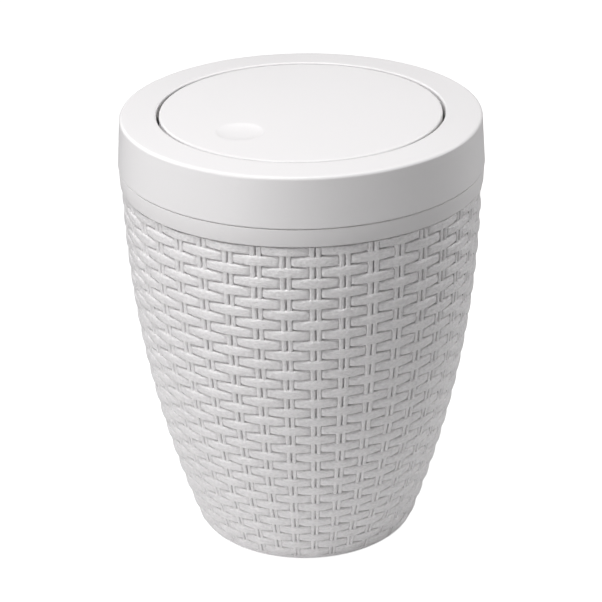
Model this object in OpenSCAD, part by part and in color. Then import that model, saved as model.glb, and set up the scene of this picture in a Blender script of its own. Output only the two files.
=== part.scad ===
// Round swing-top wastebasket with a woven-look wall.
// Millimetres, +Z up, origin at the centre of the foot, push side of the flap towards -Y.

/* [Basket] */
// Radius of the woven wall at the floor line
base_r = 69.2; // [60:0.1:75]
// Radius of the woven wall just under the rim band
weave_r = 108.1; // [104:0.1:108.4]
// Height of the woven wall
weave_h = 229.9; // [200:0.1:240]
// Power of the wall's outward curve, 2 being a parabola
wall_power = 2.07; // [1.6:0.01:2.6]
// Number of horizontal strands in the woven wall
strand_rows = 34; // [24:1:40]
// Depth of the groove between two strands
groove_d = 1.2; // [0.4:0.1:1.6]
// Thickness of the wall at the crest of a strand
wall_t = 3; // [2.6:0.1:3.4]
// Thickness of the floor
floor_t = 2.5; // [2:0.1:4]
// Height of the hollow under the floor
foot_h = 4; // [3:0.5:6]

/* [Rim band] */
// Height of the smooth band that shows under the lid
band_h = 10.5; // [8:0.1:14]
// Radius of the band at its top
band_r = 109.3; // [108.6:0.1:109.4]
// How much smaller the band's radius is at its lower edge
band_taper = 0.4; // [0:0.1:0.5]

/* [Lid] */
// Largest radius of the lid's side
lid_r = 109.5; // [109:0.1:111]
// How much smaller the lid's radius is at the top of its side
lid_taper = 2; // [0:0.1:2.5]
// Height of the lid's side and top, from its lower edge
lid_h = 30.2; // [28:0.1:34]
// Radius of the opening that the flap closes
hole_r = 85.7; // [80:0.1:88]
// Thickness of the lid's walls
lid_t = 2.2; // [1.8:0.1:2.6]
// Visible gap between the lid's lower edge and the rim band
seam_gap = 0.4; // [0.3:0.1:0.8]
// Number of stiffening ribs inside the lid ring
lid_ribs = 12; // [6:6:24]

/* [Flap] */
// Gap between the flap's edge and the opening
flap_gap = 1.7; // [1.6:0.1:3]
// Depth of the flap's skirt, from its top
skirt_d = 6.2; // [5:0.1:6.4]
// Radius of the round finger dimple
dimple_r = 14; // [10:0.5:18]
// Depth of the finger dimple
dimple_d = 1.6; // [1:0.1:2.5]
// Distance of the dimple from the flap's centre
dimple_y = 50; // [40:1:58]
// Number of ribs under the flap
flap_ribs = 8; // [4:2:12]

/* [Pivot] */
// Depth of the pivot axis below the lid's top
pivot_d = 8.7; // [8:0.1:10]
// Radius of each pivot pin
pin_r = 2; // [1.5:0.1:2.4]
// Radial running clearance of a pin in its bush
pin_clear = 0.06; // [0.02:0.01:0.1]
// Opening angle of the flap, 0 being shut
flap_open = 0; // [0:1:75]
// Height to which the lid is lifted off
lid_lift = 0; // [0:1:100]

/* [Counterweight] */
// Angle of the arc that the steel counterweight covers
weight_arc = 40; // [20:1:60]
// Width of the counterweight along the flap's radius
weight_w = 8; // [5:0.5:12]

/* [Hidden] */
$fn = 128;

shell_color = "whitesmoke";
inner_color = "gainsboro";
steel_color = "silver";
pad_color = "dimgray";

// Heights of the levels that the pieces share
floor_z = foot_h + floor_t;
band_top_z = weave_h + band_h;
neck_top_z = band_top_z - 0.4;
seat_z = band_top_z + 5.6;
lid_low_z = band_top_z + seam_gap;
lid_top_z = lid_low_z + lid_h;
pivot_z = lid_top_z - pivot_d;

// Basket: neck inside the rim band, foot ring under the floor
neck_r = weave_r - 2.2;
neck_t = 2.6;
foot_in_r = base_r - 7.2;
edge_r = 4;
plain_h = 3;
row_h = (weave_h - plain_h) / strand_rows;

// Rim band: spigot that centres the lid
spigot_r = band_r - 3;
spigot_in_r = neck_r - neck_t + 0.2;

// Lid ring: rounded outer top edge, and a top that rises slightly towards the opening
top_edge_r = 2.1;
top_rise = 0.4;
lip_h = 3;
lip_t = 2.2;
lip_edge_r = 1.2;
side_tilt = atan(lid_taper / (lid_h - top_rise - top_edge_r));
side_top_z = lid_top_z - top_rise - top_edge_r * (1 - sin(side_tilt));
edge_c_r = lid_r - lid_taper - top_edge_r * cos(side_tilt);
edge_c_z = side_top_z - top_edge_r * sin(side_tilt);
lid_in_r = lid_r - 0.4 - lid_t;

// Lid collar: tube under the lip, flange on the rim band, skirt inside the mouth
tube_r = hole_r + lip_t;
tube_top_z = lid_top_z - lip_h;
flange_t = 2.2;
plug_r = spigot_in_r - 0.8;
plug_d = 12;
boss_r = 5.2;
boss_x = hole_r + 10.3;
bush_r = 3.6;
ledge_in_r = hole_r - 7.2;
ledge_t = 2.7;
ledge_arc = 48;
pad_r = 2.5;
pad_t = 1;

// Flap: pan-shaped cover over a ribbed frame
flap_r = hole_r - flap_gap;
flap_top_z = lid_top_z - 0.2;
cover_t = 2;
cover_edge_r = 1.5;
frame_r = flap_r - cover_t - 0.3;
frame_low_z = flap_top_z - 11.8;
plate_t = 1.6;
hub_r = 4.2;
hub_len = 13;
rib_d = 3;
pad_gap = 0.1;
ledge_z = frame_low_z - pad_gap - pad_t;
press = 0.02;

// Pins and bushes
pin_in_x = frame_r - hub_len + 2;
pin_out_x = boss_x - 1;

// Counterweight inside the flap, on the side away from the dimple
weight_r = frame_r - 6.5;
weight_t = 5;

// Radius of the woven wall's crests at a height
function wall_r(z) = weave_r - (weave_r - base_r) * pow(1 - z / weave_h, wall_power);
// Radius of the strands: a rounded crest in each row and a groove between rows
function strand_r(z) = wall_r(z) - groove_d * pow(abs(cos(180 * (z - plain_h) / row_h)), 2);
// Points of an arc around [r, z], from one angle to another
function arc(r, z, radius, from, to, steps = 8) = [
    for (i = [0:steps])
        let (a = from + (to - from) * i / steps)
        [r + radius * cos(a), z + radius * sin(a)]
];

// Half section of the basket, from the centre of the floor outwards and back inside
function basket_section() =
    let (
        lean = 19,
        low_z = edge_r * (1 - sin(lean)),
        arc_r = wall_r(low_z) - edge_r * cos(lean),
        steps = strand_rows * 4,
        inner_low = floor_z + 5
    )
    concat(
        [[0, foot_h], [foot_in_r - 1, foot_h], [foot_in_r, foot_h - 1], [foot_in_r, 0]],
        arc(arc_r, edge_r, edge_r, -90, -lean),
        [for (i = [0:steps]) let (z = plain_h + row_h * i / 4) [strand_r(z), z]],
        [[neck_r, weave_h], [neck_r, neck_top_z], [neck_r - neck_t, neck_top_z]],
        [[neck_r - neck_t, weave_h - 2]],
        [for (i = [0:24]) let (z = weave_h - 8 - (weave_h - 8 - inner_low) * i / 24)
            [wall_r(z) - wall_t - 0.2, z]],
        arc(wall_r(inner_low) - wall_t - 5.2, inner_low, 5, -10, -90),
        [[0, floor_z]]
    );

module basket() {
    color(shell_color) rotate_extrude() polygon(basket_section());
}

module rim_band() {
    color(shell_color) rotate_extrude() polygon([
        [neck_r + 0.1, weave_h], [band_r - band_taper - 0.3, weave_h],
        [band_r - band_taper, weave_h + 0.3], [band_r, band_top_z - 0.4],
        [band_r - 0.4, band_top_z], [spigot_r, band_top_z],
        [spigot_r, seat_z], [spigot_in_r, seat_z], [spigot_in_r, neck_top_z],
        [neck_r + 0.1, neck_top_z]
    ]);
}

// Half section of the lid ring: tapered side, rounded edge, top and the lip of the opening
function ring_section() = concat(
    [[lid_r - 0.5, lid_low_z], [lid_r, lid_low_z + 0.5]],
    arc(edge_c_r, edge_c_z, top_edge_r, side_tilt, 89, 10),
    arc(hole_r + lip_edge_r, lid_top_z - lip_edge_r, lip_edge_r, 90, 180, 6),
    [[hole_r, tube_top_z], [tube_r, tube_top_z], [tube_r, lid_top_z - 2.6]],
    [[lid_in_r - 3.6, lid_top_z - top_rise - 2.4], [lid_in_r - 1.9, lid_top_z - 4.5]],
    [[lid_in_r - 1.2, lid_top_z - 9], [lid_in_r, lid_top_z - 20], [lid_in_r, lid_low_z]]
);

module lid_ring() {
    color(shell_color) {
        rotate_extrude() polygon(ring_section());
        intersection() {
            for (i = [0:lid_ribs - 1])
                rotate(360 * (i + 0.5) / lid_ribs)
                    translate([tube_r, -0.8, seat_z + flange_t])
                        cube([lid_r - tube_r, 1.6, lid_top_z - seat_z]);
            rotate_extrude() polygon([
                [tube_r + 0.4, seat_z + flange_t], [lid_in_r + 0.5, seat_z + flange_t],
                [lid_in_r + 0.5, lid_top_z - 12], [lid_in_r - 0.9, lid_top_z - 6],
                [lid_in_r - 3, lid_top_z - 2], [tube_r + 0.4, lid_top_z - 2]
            ]);
        }
    }
}

module lid_collar() {
    color(inner_color) difference() {
        union() {
            rotate_extrude() polygon([
                [hole_r, seat_z], [plug_r - 2.2, seat_z], [plug_r - 2.2, seat_z - plug_d],
                [plug_r - 1, seat_z - plug_d], [plug_r, seat_z - plug_d + 2], [plug_r, seat_z],
                [spigot_r, seat_z], [spigot_r, seat_z + flange_t], [tube_r, seat_z + flange_t],
                [tube_r, tube_top_z], [hole_r, tube_top_z]
            ]);
            rotate_extrude(angle = ledge_arc, start = 90 - ledge_arc / 2) polygon([
                [ledge_in_r, ledge_z - ledge_t], [hole_r - 0.5, ledge_z - ledge_t - 6],
                [hole_r + 1, ledge_z - ledge_t - 6], [hole_r + 1, ledge_z], [ledge_in_r, ledge_z]
            ]);
            for (side = [-1, 1]) pivot_bar(side, boss_r, hole_r + 1, boss_x);
        }
        for (side = [-1, 1]) pivot_bar(side, bush_r - press, hole_r - 2, boss_x + 1);
    }
}

// Round bar on the pivot axis, on the side given as -1 or 1
module pivot_bar(side, radius, from_x, to_x) {
    translate([side * from_x, 0, pivot_z])
        rotate([0, side * 90, 0])
            cylinder(r = radius, h = to_x - from_x);
}

// Flanged bush, pushed into the collar's boss from outside
module bearing(side) {
    color(inner_color) difference() {
        union() {
            pivot_bar(side, bush_r, hole_r + 0.6, boss_x);
            pivot_bar(side, bush_r + 1, boss_x, boss_x + 1.2);
        }
        pivot_bar(side, pin_r + pin_clear, hole_r - 1, boss_x + 3);
    }
}

module bearing_left() { bearing(-1); }

module bearing_right() { bearing(1); }

// Soft pads on the collar's ledge, on which the shut flap rests
module stop_pads() {
    color(pad_color)
        for (a = [-15, 15])
            rotate(a)
                translate([0, ledge_in_r + pad_r - 0.4, ledge_z])
                    cylinder(r = pad_r, h = pad_t);
}

// Depth of the dimple at a distance from its centre: a shallow bowl with a clear rim
function dimple_depth(r) = dimple_d * (1 - pow(r / dimple_r, 2));

// Dimple shape between two levels below the flap's top
module dimple(below, above) {
    translate([0, -dimple_y, flap_top_z])
        rotate_extrude() polygon(concat(
            [[0, above]],
            [for (i = [0:12]) let (r = dimple_r * i / 12) [r, -below - dimple_depth(r)]],
            [[dimple_r, above]]
        ));
}

module flap_cover() {
    color(shell_color) difference() {
        union() {
            rotate_extrude() polygon(concat(
                [[0, flap_top_z]],
                arc(flap_r - cover_edge_r, flap_top_z - cover_edge_r, cover_edge_r, 90, 0),
                [[flap_r, flap_top_z - skirt_d], [flap_r - cover_t, flap_top_z - skirt_d]],
                [[flap_r - cover_t, flap_top_z - cover_t], [0, flap_top_z - cover_t]]
            ));
            dimple(cover_t, -cover_t + 0.5);
        }
        dimple(0, 1);
    }
}

module flap_frame() {
    color(inner_color) difference() {
        union() {
            rotate_extrude() polygon([
                [0, frame_low_z], [frame_r - 1, frame_low_z], [frame_r, frame_low_z + 1],
                [frame_r, flap_top_z - cover_t], [frame_r - 2, flap_top_z - cover_t],
                [frame_r - 2, frame_low_z + plate_t], [0, frame_low_z + plate_t]
            ]);
            for (side = [-1, 1]) pivot_bar(side, hub_r, frame_r - hub_len, frame_r - 0.4);
            rotate_extrude() polygon([
                [26, frame_low_z + 0.5], [26, frame_low_z - rib_d], [28, frame_low_z - rib_d],
                [28, frame_low_z + 0.5]
            ]);
            for (i = [0:flap_ribs - 1])
                rotate(360 * (i + 0.5) / flap_ribs)
                    translate([27, -0.9, frame_low_z - rib_d])
                        cube([frame_r - 38, 1.8, rib_d + 0.5]);
        }
        for (side = [-1, 1]) pivot_bar(side, pin_r - press, pin_in_x, frame_r + 2);
    }
}

module pivot_pin(side) {
    color(steel_color) pivot_bar(side, pin_r, pin_in_x, pin_out_x);
}

module pivot_pin_left() { pivot_pin(-1); }

module pivot_pin_right() { pivot_pin(1); }

module counterweight() {
    color(steel_color)
        rotate_extrude(angle = weight_arc, start = 90 - weight_arc / 2)
            translate([weight_r - weight_w, frame_low_z + plate_t])
                square([weight_w, weight_t]);
}

// Pose of the lid's pieces when the lid is lifted
module on_lid() {
    translate([0, 0, lid_lift]) children();
}

// Pose of the flap's pieces when the flap is pushed open
module on_flap() {
    on_lid() translate([0, 0, pivot_z]) rotate([flap_open, 0, 0]) translate([0, 0, -pivot_z]) children();
}

basket();
rim_band();
on_lid() lid_ring();
on_lid() lid_collar();
on_lid() bearing_left();
on_lid() bearing_right();
on_lid() stop_pads();
on_flap() flap_cover();
on_flap() flap_frame();
on_flap() pivot_pin_left();
on_flap() pivot_pin_right();
on_flap() counterweight();
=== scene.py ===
"""Swing-top wastebasket with a woven-look wall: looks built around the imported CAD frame."""
import math

import bpy
import numpy as np
from mathutils import Matrix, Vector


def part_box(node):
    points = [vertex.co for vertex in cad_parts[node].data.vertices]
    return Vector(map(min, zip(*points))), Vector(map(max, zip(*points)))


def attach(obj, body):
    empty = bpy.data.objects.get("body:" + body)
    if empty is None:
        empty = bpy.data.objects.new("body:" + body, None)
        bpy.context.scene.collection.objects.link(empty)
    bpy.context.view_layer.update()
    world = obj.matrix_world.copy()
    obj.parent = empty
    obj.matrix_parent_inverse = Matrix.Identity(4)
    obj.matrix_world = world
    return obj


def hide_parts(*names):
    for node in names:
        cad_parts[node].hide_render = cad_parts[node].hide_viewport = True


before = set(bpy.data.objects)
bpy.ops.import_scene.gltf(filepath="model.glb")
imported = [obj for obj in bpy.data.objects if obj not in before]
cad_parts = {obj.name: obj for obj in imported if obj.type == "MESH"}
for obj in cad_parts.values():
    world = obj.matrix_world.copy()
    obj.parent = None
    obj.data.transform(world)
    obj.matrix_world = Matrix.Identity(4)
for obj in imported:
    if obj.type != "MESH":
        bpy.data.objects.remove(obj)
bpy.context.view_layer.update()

MM = 0.001

# ---------------------------------------------------------------- places taken from the frame
_, basket_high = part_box("basket")
band_low, band_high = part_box("rim_band")
ring_low, ring_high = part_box("lid_ring")
cover_low, cover_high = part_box("flap_cover")

WEAVE_TOP = band_low[2]
WEAVE_R = basket_high[0]
BAND_R = band_high[0]
SEAT_Z = band_high[2]
LID_LOW = ring_low[2]
LID_TOP = ring_high[2]
LID_R = ring_high[0]
FLAP_R = cover_high[0]
FLAP_TOP = cover_high[2]
FLAP_LOW = cover_low[2]

# ---------------------------------------------------------------- the woven wall, in metres
# Curve of the wall: radius at the floor line, and the power of its outward curve
BASE_R = 69.2 * MM
WALL_POWER = 2.07
# Rows of strands above a plain foot, and columns of rod pairs
PLAIN_H = 3 * MM
ROWS = 34
COLUMNS = 40
FIRST_COLUMN = math.radians(48.65)
ROW_H = (WEAVE_TOP - PLAIN_H) / ROWS
COLUMN_ANGLE = 2 * math.pi / COLUMNS

# Rods: spacing in a pair, half width, depth behind the strands' crests, and rounding of the section
ROD_APART = 3.8 * MM
ROD_HALF = 1.55 * MM
ROD_DEPTH = 0.7 * MM
ROD_ROUND = 1.3 * MM
ROD_POWER = 3.0
PAIR_HALF = ROD_APART / 2 + ROD_HALF
# Depth of the slot between the two rods of a pair
SLOT_DEPTH = 2.5 * MM

# Strands: dip between crests, extra dip where they pass behind rods, and rounding of the section
STRAND_DIVE = 0.75 * MM
STRAND_DUCK = 2.0 * MM
STRAND_ROUND = 1.6 * MM
UPPER_POWER = 2.6
LOWER_POWER = 6.0
# Half heights of a strand as shares of a row: at a crest, where it dips, and below its middle line
STRAND_HIGH = 0.465
STRAND_LOW = 0.39
STRAND_LOWER = 0.95
# Sections of a strand in each column
STATIONS = 16

# Groove between the weave and the rim band, and the band's taper
BAND_GROOVE = 1.4 * MM
BAND_TAPER = 0.4 * MM

# Depths behind the crests: outside and inside of the shell behind the weave
BACKING = 2.7 * MM
WALL_T = 3.2 * MM

# ---------------------------------------------------------------- small mesh tools


def make_piece(name, verts, faces, body, slot, nodes, sharp=35):
    """A mesh object that rides on a body and stands for CAD nodes, smooth but for its sharp corners."""
    mesh = bpy.data.meshes.new(name)
    mesh.from_pydata([tuple(v) for v in np.asarray(verts, float)], [], [tuple(f) for f in faces])
    mesh.update()
    mesh.polygons.foreach_set("use_smooth", [True] * len(mesh.polygons))
    mesh.set_sharp_from_angle(angle=math.radians(sharp))
    piece = bpy.data.objects.new(name, mesh)
    bpy.context.scene.collection.objects.link(piece)
    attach(piece, body)
    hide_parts(*nodes)
    return piece


def loft(rings, closed_rings=True, caps=False):
    """Vertices and quads through equal rings of points; closed_rings joins the last ring to the first."""
    rings = np.asarray(rings, float)
    count, around = rings.shape[:2]
    faces = []
    for i in range(count if closed_rings else count - 1):
        a, b = i * around, (i + 1) % count * around
        for k in range(around):
            n = (k + 1) % around
            faces.append((a + k, a + n, b + n, b + k))
    if caps:
        faces.append(tuple(range(around - 1, -1, -1)))
        faces.append(tuple((count - 1) * around + k for k in range(around)))
    return rings.reshape(-1, 3), faces


def merge(parts):
    """One vertex list and one face list from several."""
    verts, faces, start = [], [], 0
    for part_verts, part_faces in parts:
        verts.append(np.asarray(part_verts, float))
        faces += [tuple(i + start for i in f) for f in part_faces]
        start += len(part_verts)
    return np.vstack(verts), faces


def circle(r, z, segments, y=0.0):
    """Level ring of points about (0, y)."""
    turn = 2 * math.pi * np.arange(segments) / segments
    return np.stack([r * np.sin(turn), y - r * np.cos(turn), np.full(segments, z)], 1)


def between(first, last, shares):
    """Points on the straight line from first to last."""
    return [tuple(np.array(first) * (1 - t) + np.array(last) * t) for t in shares]


def revolve(section, segments):
    """A ring-shaped solid: a closed outline of (radius, height) turned about the Z axis."""
    section = np.asarray(section, float)
    turn = 2 * math.pi * np.arange(segments) / segments
    rings = [
        np.stack([section[:, 0] * math.sin(a), -section[:, 0] * math.cos(a), section[:, 1]], 1)
        for a in turn
    ]
    return loft(rings)


def revolve_dish(section, segments):
    """A solid without a hole: an outline of (radius, height) that starts and ends on the Z axis."""
    section = np.asarray(section, float)
    rings = [circle(r, z, segments) for r, z in section[1:-1]]
    return capped(rings, [0, 0, section[0][1]], [0, 0, section[-1][1]])


def capped(rings, first_point, last_point):
    """A solid through rings of points, closed by fans to one point at each end."""
    verts, faces = loft(rings, closed_rings=False)
    count, around = len(verts), len(rings[0])
    end = count - around
    for k in range(around):
        n = (k + 1) % around
        faces.append((count, n, k))
        faces.append((count + 1, end + k, end + n))
    return np.vstack([verts, [first_point, last_point]]), faces


def arc(r, z, radius, start, stop, steps):
    """Points of an arc about (r, z), from one angle to another in degrees."""
    angles = np.radians(np.linspace(start, stop, steps + 1))
    return [(r + radius * math.cos(a), z + radius * math.sin(a)) for a in angles]


# ---------------------------------------------------------------- shape of the wall


def wall_radius(z):
    """Radius of the woven wall's crests at a height."""
    rest = np.clip(1 - np.asarray(z, float) / WEAVE_TOP, 0, None)
    return WEAVE_R - (WEAVE_R - BASE_R) * rest**WALL_POWER


def wall_lean(z):
    """Angle of the wall from the vertical, the wall widening upwards."""
    rest = np.clip(1 - np.asarray(z, float) / WEAVE_TOP, 0, None)
    return np.arctan((WEAVE_R - BASE_R) * WALL_POWER / WEAVE_TOP * rest ** (WALL_POWER - 1))


def wall_point(turn, z, out):
    """Point at an angle and a height, moved out from the crests along the wall's own normal."""
    lean = wall_lean(z)
    r = wall_radius(z) + out * np.cos(lean)
    return np.stack([r * np.sin(turn), -r * np.cos(turn), z - out * np.sin(lean)], -1)


def rounded(power, steps):
    """A quarter of a rounded bar's section: shares of its half width, and of the drop from its face."""
    angle = np.radians(np.linspace(0, 90, steps + 1))
    return np.sin(angle) ** (2 / power), 1 - np.cos(angle).clip(0) ** (2 / power)


def strand(row):
    """One horizontal strand: a flat ribbon with rounded edges that goes over and under the rod pairs."""
    middle = WEAVE_TOP - (row + 0.5) * ROW_H
    top = WEAVE_TOP - BAND_GROOVE
    half = COLUMN_ANGLE / 2
    reach = 1.25 * PAIR_HALF
    duck_here = STRAND_DUCK * (float(wall_radius(middle)) / WEAVE_R) ** 2
    lower, lower_drop = rounded(LOWER_POWER, 6)
    upper, upper_drop = rounded(UPPER_POWER, 8)
    height = np.concatenate([-STRAND_LOWER * lower[::-1], upper[1:]])
    drop = STRAND_ROUND * np.concatenate([lower_drop[::-1], upper_drop[1:]])
    rings = []
    for column in range(COLUMNS):
        over = (row + column) % 2 == 1
        for x in np.arange(STATIONS) / STATIONS * 2 - 1:
            phase = abs(x) / 2
            phase = phase if over else 1 - phase
            wave = 0.5 + 0.5 * math.cos(math.pi * phase)
            near = (1 - phase) * 2 * half * WEAVE_R / reach
            duck = math.cos(min(1, near) * math.pi / 2)
            tall = ROW_H * (STRAND_LOW + (STRAND_HIGH - STRAND_LOW) * wave)
            face = np.minimum(middle + tall * height, top + 0.01 * MM * height)
            z = np.concatenate([face, [face[-1], face[0]]])
            out = -STRAND_DIVE * (1 - wave) - duck_here * duck
            outs = np.concatenate([np.maximum(out - drop, -BACKING), [-BACKING - 0.3 * MM] * 2])
            rings.append(wall_point(FIRST_COLUMN + column * COLUMN_ANGLE + x * half, z, outs))
    return loft(rings)


def upright(turn_middle, offsets, outs):
    """A closed bar that follows the wall from the foot to the rim band, from its section."""
    rings = []
    for z in np.linspace(1.5 * MM, WEAVE_TOP - BAND_GROOVE, 60):
        turn = turn_middle + np.asarray(offsets) / WEAVE_R
        rings.append(wall_point(turn, np.full(len(outs), z), np.asarray(outs)))
    return loft(rings, closed_rings=False, caps=True)


def rod_pair(turn_middle):
    """Two upright rods side by side, and the web that closes the slot between them."""
    across, drop = rounded(ROD_POWER, 6)
    across = ROD_HALF * np.concatenate([-across[::-1], across[1:], [across[-1], -across[-1]]])
    outs = -ROD_DEPTH - ROD_ROUND * np.concatenate([drop[::-1], drop[1:]])
    outs = np.concatenate([outs, [-BACKING - 0.2 * MM] * 2])
    half = ROD_APART / 2
    parts = [upright(turn_middle, side * half + across, outs) for side in (-1, 1)]
    web = [-SLOT_DEPTH] * 2 + [-BACKING - 0.1 * MM] * 2
    parts.append(upright(turn_middle, [-half, half, half, -half], web))
    return merge(parts)


# ---------------------------------------------------------------- pieces of the basket


def make_strands(body, slot):
    """All strands, in four pieces so that each keeps its full detail."""
    starts = [0, 9, 18, 26, ROWS]
    return [
        make_piece(f"woven_strands_{i + 1}", *merge([strand(row) for row in rows]), body, slot, ["basket"])
        for i, rows in enumerate(range(a, b) for a, b in zip(starts, starts[1:]))
    ]


def make_rods(body, slot):
    """All pairs of upright rods."""
    pairs = [rod_pair(FIRST_COLUMN + column * COLUMN_ANGLE) for column in range(COLUMNS)]
    return make_piece("woven_rods", *merge(pairs), body, slot, ["basket"])


def make_shell(body, slot):
    """The wall behind the weave, with the floor, the foot ring and the neck inside the band."""
    foot_h, floor_z, edge = 4 * MM, 6.5 * MM, 4 * MM
    foot_in = BASE_R - 7.2 * MM
    neck_r, neck_t = WEAVE_R - 2.2 * MM, 2.6 * MM
    neck_top = WEAVE_TOP + 10.1 * MM
    foot_lean = 19
    low = edge * (1 - math.sin(math.radians(foot_lean)))
    edge_r = float(wall_radius(low)) - ROD_DEPTH - edge * math.cos(math.radians(foot_lean))
    outside = [(float(wall_radius(z)) - BACKING, z) for z in np.linspace(4.4 * MM, WEAVE_TOP, 60)]
    corner, corner_z = 5 * MM, 11.5 * MM
    inside = [
        (float(wall_radius(z)) - WALL_T, z) for z in np.linspace(WEAVE_TOP - 8 * MM, corner_z, 48)
    ]
    corner_r = float(wall_radius(corner_z)) - WALL_T - corner
    section = (
        [(0, foot_h), (foot_in - MM, foot_h), (foot_in - 0.3 * MM, foot_h - 0.3 * MM)]
        + [(foot_in, foot_h - MM), (foot_in, 0.4 * MM), (foot_in + 0.4 * MM, 0)]
        + arc(edge_r, edge, edge, -90, -foot_lean, 8)
        + [(float(wall_radius(3.3 * MM)) - ROD_DEPTH, 3.3 * MM)]
        + [(float(wall_radius(3.8 * MM)) - ROD_DEPTH - 0.5 * MM, 3.8 * MM)]
        + outside
        + [(neck_r, WEAVE_TOP), (neck_r, neck_top - 0.4 * MM), (neck_r - 0.4 * MM, neck_top)]
        + [(neck_r - neck_t + 0.4 * MM, neck_top), (neck_r - neck_t, neck_top - 0.4 * MM)]
        + [(neck_r - neck_t, WEAVE_TOP - 2 * MM)]
        + inside
        + arc(corner_r, corner_z, corner, -10, -90, 8)
        + [(0, floor_z)]
    )
    return make_piece("basket_shell", *revolve_dish(section, 320), body, slot, ["basket"])


def make_band(body, slot):
    """The smooth hoop on the basket's mouth."""
    inner = WEAVE_R - 2.1 * MM
    top = LID_LOW - 0.4 * MM
    spigot, spigot_in = BAND_R - 3 * MM, WEAVE_R - 4.6 * MM
    low_edge, top_edge, spigot_edge = 0.3 * MM, 0.5 * MM, 0.6 * MM
    section = (
        [(inner, WEAVE_TOP)]
        + arc(BAND_R - BAND_TAPER - low_edge, WEAVE_TOP + low_edge, low_edge, -90, 0, 4)
        + arc(BAND_R - top_edge, top - top_edge, top_edge, 0, 90, 5)
        + [(spigot + 0.2 * MM, top), (spigot, top + 0.2 * MM)]
        + arc(spigot - spigot_edge, SEAT_Z - spigot_edge, spigot_edge, 0, 90, 4)
        + arc(spigot_in + spigot_edge, SEAT_Z - spigot_edge, spigot_edge, 90, 180, 4)
        + [(spigot_in, top - 0.4 * MM), (inner, top - 0.4 * MM)]
    )
    return make_piece("rim_hoop", *revolve(section, 360), body, slot, ["rim_band"])


# ---------------------------------------------------------------- pieces of the lid

# Taper of the side, radius of the top's outer edge, and rise of the top towards the opening
LID_TAPER = 2.0 * MM
TOP_EDGE = 2.1 * MM
TOP_RISE = 0.4 * MM
# Opening, wall thickness, and number of ribs
HOLE_R = FLAP_R + 1.7 * MM
LID_T = 2.2 * MM
LID_RIBS = 12


def make_lid_ring(body, slot):
    """The lid's outer shell, with the ribs under its top."""
    tilt = math.atan(LID_TAPER / (LID_TOP - LID_LOW - TOP_RISE - TOP_EDGE))
    edge_r = LID_R - LID_TAPER - TOP_EDGE * math.cos(tilt)
    edge_z = LID_TOP - TOP_RISE - TOP_EDGE
    inner = LID_R - 0.4 * MM - LID_T
    lip_low = LID_TOP - 3 * MM
    lip, low_edge = 1.2 * MM, 0.5 * MM
    low_side = arc(LID_R - low_edge, LID_LOW + low_edge, low_edge, -90, 0, 5)
    top_out = arc(edge_r, edge_z, TOP_EDGE, math.degrees(tilt), 88.5, 14)
    top_in = arc(HOLE_R + lip, LID_TOP - lip, lip, 90, 180, 8)
    section = (
        low_side
        + between(low_side[-1], top_out[0], (0.03, 0.5, 0.98))
        + top_out
        + between(top_out[-1], top_in[0], (0.05, 0.5, 0.95))
        + top_in
        + [(HOLE_R, lip_low), (HOLE_R + LID_T, lip_low), (HOLE_R + LID_T, LID_TOP - 2.6 * MM)]
        + [(inner - 3.6 * MM, LID_TOP - 2.8 * MM), (inner - 1.9 * MM, LID_TOP - 4.5 * MM)]
        + [(inner - 1.2 * MM, LID_TOP - 9 * MM), (inner, LID_TOP - 20 * MM)]
        + [(inner, LID_LOW + 0.4 * MM), (inner + 0.4 * MM, LID_LOW)]
    )
    turns = [math.radians(360 * (i + 0.5) / LID_RIBS) for i in range(LID_RIBS)]
    ribs = [rib(turn, SEAT_Z + 2.2 * MM, LID_TOP - 2.5 * MM) for turn in turns]
    parts = merge([revolve(section, 384)] + ribs)
    return make_piece("lid_shell", *parts, body, slot, ["lid_ring"], sharp=40)


def rib(turn, low, high):
    """One upright web between the lip and the side of the lid ring."""
    r_in, r_out = HOLE_R + LID_T + 0.4 * MM, LID_R - LID_T - 0.1 * MM
    outline = [(r_in, low), (r_out, low), (r_out, high - 9.5 * MM)]
    outline += [(r_out - 1.2 * MM, high - 3.5 * MM), (r_out - 3.3 * MM, high), (r_in, high)]
    out = np.array([math.cos(turn), math.sin(turn), 0])
    half_width = 0.8 * MM
    across = np.array([-math.sin(turn), math.cos(turn), 0]) * half_width
    rings = [
        [out * r + across * s + np.array([0, 0, z]) for r, z in outline] for s in (-1, 1)
    ]
    return loft(rings, closed_rings=False, caps=True)


# ---------------------------------------------------------------- pieces of the flap

# Finger dimple: radius, depth, and place of its middle on the push side
DIMPLE_R = 14 * MM
DIMPLE_D = 1.6 * MM
DIMPLE_Y = -50 * MM


def flap_rings(top, edge_r, segments):
    """Rings from the dimple's centre out to the flap's edge, round the dimple first."""
    rim = 0.6 * MM
    rings = []
    for f in [*np.linspace(0.04, 0.9, 16), 0.93, 0.955, 0.98, 1]:
        r = (DIMPLE_R + rim) * f
        drop = DIMPLE_D * max(0.0, 1 - (r / DIMPLE_R) ** 3)
        near = (r - DIMPLE_R) / rim
        if abs(near) < 1:
            drop = DIMPLE_D * 3 * rim / DIMPLE_R * (1 - near) ** 2 / 4
        rings.append((r, DIMPLE_Y, top - drop))
    for t in np.linspace(0.08, 1, 12):
        r = (DIMPLE_R + rim) * (1 - t) + edge_r * t
        rings.append((r, DIMPLE_Y * (1 - t), top))
    return [circle(r, z, segments, y) for r, y, z in rings]


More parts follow.
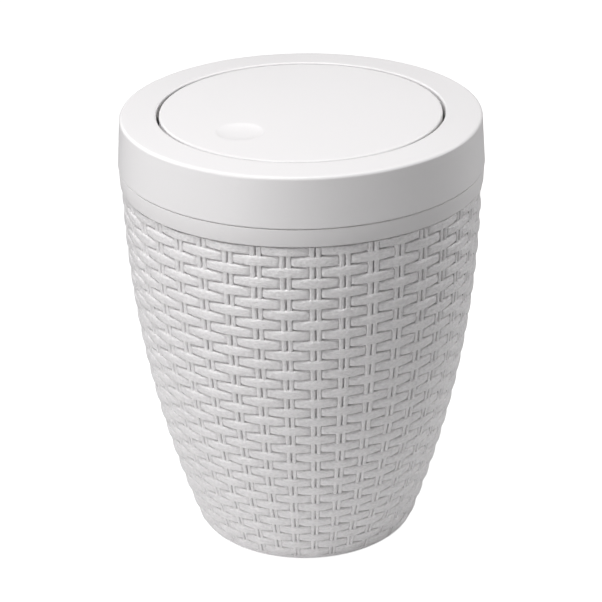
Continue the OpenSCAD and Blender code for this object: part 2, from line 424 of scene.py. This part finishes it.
def make_flap_disc(body, slot):
    """The flap's cover: flat top with the finger dimple, rounded edge, short skirt, hollow below."""
    segments, thick, edge = 256, 2 * MM, 1.5 * MM
    inner = FLAP_R - thick
    outline = (
        arc(FLAP_R - edge, FLAP_TOP - edge, edge, 85, 0, 8)
        + [(FLAP_R, FLAP_LOW + 0.4 * MM), (FLAP_R - 0.4 * MM, FLAP_LOW)]
        + [(inner + 0.4 * MM, FLAP_LOW), (inner, FLAP_LOW + 0.4 * MM)]
        + [(inner, FLAP_TOP - thick - 0.6 * MM), (inner - 0.6 * MM, FLAP_TOP - thick)]
    )
    side = [circle(r, z, segments) for r, z in outline]
    top = flap_rings(FLAP_TOP, FLAP_R - edge, segments)
    under = flap_rings(FLAP_TOP - thick, inner - 1.2 * MM, segments)
    deepest = FLAP_TOP - DIMPLE_D
    disc = capped(top + side + under[::-1], [0, DIMPLE_Y, deepest], [0, DIMPLE_Y, deepest - thick])
    return make_piece("flap_disc", *disc, body, slot, ["flap_cover"], sharp=30)


# ---------------------------------------------------------------- materials


class Nodes:
    """A short way to build a node tree."""

    def __init__(self, name):
        self.material = bpy.data.materials.new(name)
        self.material.use_nodes = True
        self.tree = self.material.node_tree
        self.shader = self.tree.nodes["Principled BSDF"]

    def add(self, kind, **inputs):
        node = self.tree.nodes.new(kind)
        for key, value in inputs.items():
            node.inputs[key.replace("_", " ")].default_value = value
        return node

    def link(self, source, target):
        self.tree.links.new(source, target)

    def math(self, operation, first, second):
        node = self.tree.nodes.new("ShaderNodeMath")
        node.operation = operation
        for socket, value in zip(node.inputs, (first, second)):
            if isinstance(value, (int, float)):
                socket.default_value = value
            else:
                self.link(value, socket)
        return node.outputs[0]


def plastic(name, colour, roughness, grain=0.04, size=(2600, 2600, 2600), grey=0.97,
            shine=0.45):
    """Moulded plastic: slight colour and gloss variation, and a fine surface grain.

    size is the number of grains in a metre along each axis, so unequal ones draw the grain out."""
    nodes = Nodes(name)
    place = nodes.add("ShaderNodeTexCoord").outputs["Object"]
    shader = nodes.shader
    shader.inputs["IOR"].default_value = 1.46
    shader.inputs["Specular IOR Level"].default_value = shine

    cloud = nodes.add("ShaderNodeTexNoise", Scale=14.0, Detail=3.0)
    nodes.link(place, cloud.inputs["Vector"])
    tint = nodes.add("ShaderNodeMix")
    tint.data_type = "RGBA"
    tint.inputs["A"].default_value = (*[c * grey for c in colour], 1)
    tint.inputs["B"].default_value = (*colour, 1)
    nodes.link(tint.outputs["Result"], shader.inputs["Base Color"])

    gloss = nodes.add("ShaderNodeMapRange")
    gloss.inputs["To Min"].default_value = roughness - 0.04
    gloss.inputs["To Max"].default_value = roughness + 0.05
    nodes.link(cloud.outputs["Fac"], gloss.inputs["Value"])
    nodes.link(gloss.outputs["Result"], shader.inputs["Roughness"])

    fine = nodes.add("ShaderNodeTexNoise", Scale=1.0, Detail=3.0, Roughness=0.6)
    grain_place = nodes.add("ShaderNodeVectorMath")
    grain_place.operation = "MULTIPLY"
    grain_place.inputs[1].default_value = size
    nodes.link(place, grain_place.inputs[0])
    nodes.link(grain_place.outputs["Vector"], fine.inputs["Vector"])
    spread = nodes.add("ShaderNodeMapRange")
    spread.inputs["From Min"].default_value = 0.33
    spread.inputs["From Max"].default_value = 0.67
    nodes.link(fine.outputs["Fac"], spread.inputs["Value"])
    nodes.link(spread.outputs["Result"], tint.inputs["Factor"])
    bump = nodes.add("ShaderNodeBump", Strength=grain, Distance=0.0008)
    nodes.link(fine.outputs["Fac"], bump.inputs["Height"])
    nodes.link(bump.outputs["Normal"], shader.inputs["Normal"])
    return nodes.material


def paint(pieces, material):
    """Gives pieces of this script their material."""
    for piece in pieces:
        piece.data.materials.clear()
        piece.data.materials.append(material)


def paint_node(name, material):
    """Gives a visible CAD node its material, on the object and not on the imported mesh."""
    for material_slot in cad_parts[name].material_slots:
        material_slot.link = "OBJECT"
        material_slot.material = material


def steel(name):
    """Plain ground steel with fine turning marks."""
    nodes = Nodes(name)
    place = nodes.add("ShaderNodeTexCoord").outputs["Object"]
    marks = nodes.add("ShaderNodeTexNoise", Scale=900.0, Detail=3.0)
    nodes.link(place, marks.inputs["Vector"])
    nodes.shader.inputs["Base Color"].default_value = (0.56, 0.56, 0.57, 1)
    nodes.shader.inputs["Metallic"].default_value = 1
    gloss = nodes.add("ShaderNodeMapRange")
    gloss.inputs["To Min"].default_value = 0.25
    gloss.inputs["To Max"].default_value = 0.45
    nodes.link(marks.outputs["Fac"], gloss.inputs["Value"])
    nodes.link(gloss.outputs["Result"], nodes.shader.inputs["Roughness"])
    return nodes.material


# ---------------------------------------------------------------- light, floor and camera

# Softboxes: turn from the camera's azimuth and rise in degrees, distance in metres, power in watts
SOFTBOXES = {
    "high_key": (-40, 65, 1.2, 7.3),
    "edge_left": (-130, 30, 1.2, 2.0),
    "side_key": (-90, 25, 0.8, 0.95),
    "low_key": (-40, 12, 1.2, 5.1),
    "front": (-10, 40, 1.2, 0.5),
    "overhead": (0, 88, 1.2, 3.35),
    "right_high": (120, 65, 1.2, 1.35),
    "right_middle": (120, 40, 1.2, 1.9),
    "right_low": (95, 15, 1.2, 4.9),
}
SOFTBOX_WIDTH = 0.4
# Camera: azimuth, rise and roll in degrees, distance, shift to the right, height it aims at, and lens
CAMERA_TURN = 45
CAMERA_RISE = 25.61
CAMERA_ROLL = -0.9
CAMERA_AWAY = 1.2
CAMERA_SIDE = -1.6 * MM
CAMERA_AIM = 145 * MM
CAMERA_LENS = 115.7


def make_floor():
    """A plain pale floor that reaches past every view.

    What it throws back on the basket fades outwards, and to the eye it is evenly pale."""
    size, low = 8, -0.2 * MM
    mesh = bpy.data.meshes.new("studio_floor")
    corners = [(-size, -size, low), (size, -size, low), (size, size, low), (-size, size, low)]
    mesh.from_pydata(corners, [], [(0, 1, 2, 3)])
    floor = bpy.data.objects.new("studio_floor", mesh)
    bpy.context.scene.collection.objects.link(floor)
    nodes = Nodes("floor_paint")
    place = nodes.add("ShaderNodeTexCoord").outputs["Object"]
    away = nodes.add("ShaderNodeVectorMath")
    away.operation = "LENGTH"
    nodes.link(place, away.inputs[0])
    pool = nodes.add("ShaderNodeMapRange")
    pool.interpolation_type = "SMOOTHSTEP"
    for name, value in zip(("From Min", "From Max", "To Min", "To Max"), (0.10, 0.55, 0.82, 0.30)):
        pool.inputs[name].default_value = value
    nodes.link(away.outputs["Value"], pool.inputs["Value"])
    grey = nodes.add("ShaderNodeCombineColor")
    for channel in ("Red", "Green", "Blue"):
        nodes.link(pool.outputs["Result"], grey.inputs[channel])
    nodes.link(grey.outputs["Color"], nodes.shader.inputs["Base Color"])
    nodes.shader.inputs["Roughness"].default_value = 0.9
    nodes.shader.inputs["Specular IOR Level"].default_value = 0.1
    nodes.shader.inputs["Emission Color"].default_value = (1, 1, 1, 1)
    seen = nodes.add("ShaderNodeLightPath").outputs["Is Camera Ray"]
    rest = nodes.math("SUBTRACT", 1.15, nodes.math("MULTIPLY", 0.5, pool.outputs["Result"]))
    nodes.link(nodes.math("MULTIPLY", rest, seen), nodes.shader.inputs["Emission Strength"])
    mesh.materials.append(nodes.material)


def make_light():
    """Round softboxes in a dark room, with a white backdrop that only the camera sees."""
    world = bpy.data.worlds.new("studio")
    bpy.context.scene.world = world
    world.use_nodes = True
    tree = world.node_tree
    room = tree.nodes["Background"]
    room.inputs["Strength"].default_value = 0.0
    backdrop = tree.nodes.new("ShaderNodeBackground")
    backdrop.inputs["Color"].default_value = (1, 1, 1, 1)
    seen = tree.nodes.new("ShaderNodeLightPath")
    either = tree.nodes.new("ShaderNodeMixShader")
    tree.links.new(seen.outputs["Is Camera Ray"], either.inputs["Fac"])
    tree.links.new(room.outputs["Background"], either.inputs[1])
    tree.links.new(backdrop.outputs["Background"], either.inputs[2])
    tree.links.new(either.outputs["Shader"], tree.nodes["World Output"].inputs["Surface"])
    for name, place in SOFTBOXES.items():
        add_softbox(name, *place)


def add_softbox(name, turn, rise, away, power):
    """A round area light that faces the basket's middle."""
    light = bpy.data.lights.new(name, "AREA")
    light.shape = "DISK"
    light.size = SOFTBOX_WIDTH
    light.energy = power
    lamp = bpy.data.objects.new(name, light)
    bpy.context.scene.collection.objects.link(lamp)
    _, _, back = view_axes(CAMERA_TURN + turn, rise)
    lamp.location = back * away + np.array([0, 0, CAMERA_AIM])
    lamp.rotation_euler = (math.radians(90 - rise), 0, math.radians(CAMERA_TURN + turn))


def view_axes(turn, rise):
    """Right, up and back axes of a view from a turn and a rise in degrees."""
    turn, rise = math.radians(turn), math.radians(rise)
    right = np.array([math.cos(turn), math.sin(turn), 0])
    back = np.array([math.sin(turn) * math.cos(rise), -math.cos(turn) * math.cos(rise), math.sin(rise)])
    return right, np.cross(back, right), back


def make_camera():
    """The camera, looking down at the basket from beyond the flap's push side."""
    data = bpy.data.cameras.new("camera")
    data.lens = CAMERA_LENS
    data.sensor_width = 36
    data.clip_end = 50
    camera = bpy.data.objects.new("camera", data)
    bpy.context.scene.collection.objects.link(camera)
    right, up, back = view_axes(CAMERA_TURN, CAMERA_RISE)
    camera.location = right * CAMERA_SIDE + back * CAMERA_AWAY + np.array([0, 0, CAMERA_AIM])
    camera.rotation_mode = "XYZ"
    roll = math.radians(CAMERA_ROLL)
    x = right * math.cos(roll) + up * math.sin(roll)
    y = up * math.cos(roll) - right * math.sin(roll)
    turned = Matrix([[x[i], y[i], back[i], camera.location[i]] for i in range(3)] + [[0, 0, 0, 1]])
    camera.matrix_world = turned
    bpy.context.scene.camera = camera


# ---------------------------------------------------------------- build

make_camera()
make_light()
make_floor()

# The weave's white (strands, rods and shell) is brighter than the lid's white: painted light that makes up
# for the shade inside the weave and its weak edge highlights
woven_white = (0.895, 0.876, 0.883)
lid_white = (0.815, 0.80, 0.805)
rough = {"grain": 1.0, "grey": 0.82, "shine": 0.9}
woven = plastic("woven_plastic", woven_white, 0.29, size=(420, 420, 900), **rough)
woven_up = plastic("woven_rod_plastic", woven_white, 0.29, size=(900, 900, 420), **rough)
# The hoop's white is darker than the lid's white: painted shade that darkens the band against the lid's
# side above it
hoop = plastic("hoop_plastic", (0.79, 0.774, 0.778), 0.45, grain=0.05)
smooth = plastic("smooth_plastic", lid_white, 0.36, grain=0.03)
flap = plastic("flap_plastic", lid_white, 0.42, grain=0.05)
inner = plastic("inner_plastic", (0.76, 0.755, 0.74), 0.5, grain=0.06)
bush = plastic("bush_plastic", (0.70, 0.69, 0.66), 0.3, grain=0.02)
rubber = plastic("pad_rubber", (0.10, 0.10, 0.10), 0.7, grain=0.1)
metal = steel("pin_steel")

paint(make_strands("basket", "woven_shell"), woven)
paint([make_rods("basket", "woven_shell")], woven_up)
paint([make_shell("basket", "woven_shell")], woven)
paint([make_band("basket", "smooth_shell")], hoop)
paint([make_lid_ring("lid", "smooth_shell")], smooth)
paint([make_flap_disc("flap", "flap_plastic")], flap)
for name in ("lid_collar", "flap_frame"):
    paint_node(name, inner)
for name in ("bearing_left", "bearing_right"):
    paint_node(name, bush)
for name in ("pivot_pin_left", "pivot_pin_right", "counterweight"):
    paint_node(name, metal)
paint_node("stop_pads", rubber)

bpy.context.scene.view_settings.view_transform = "Standard"
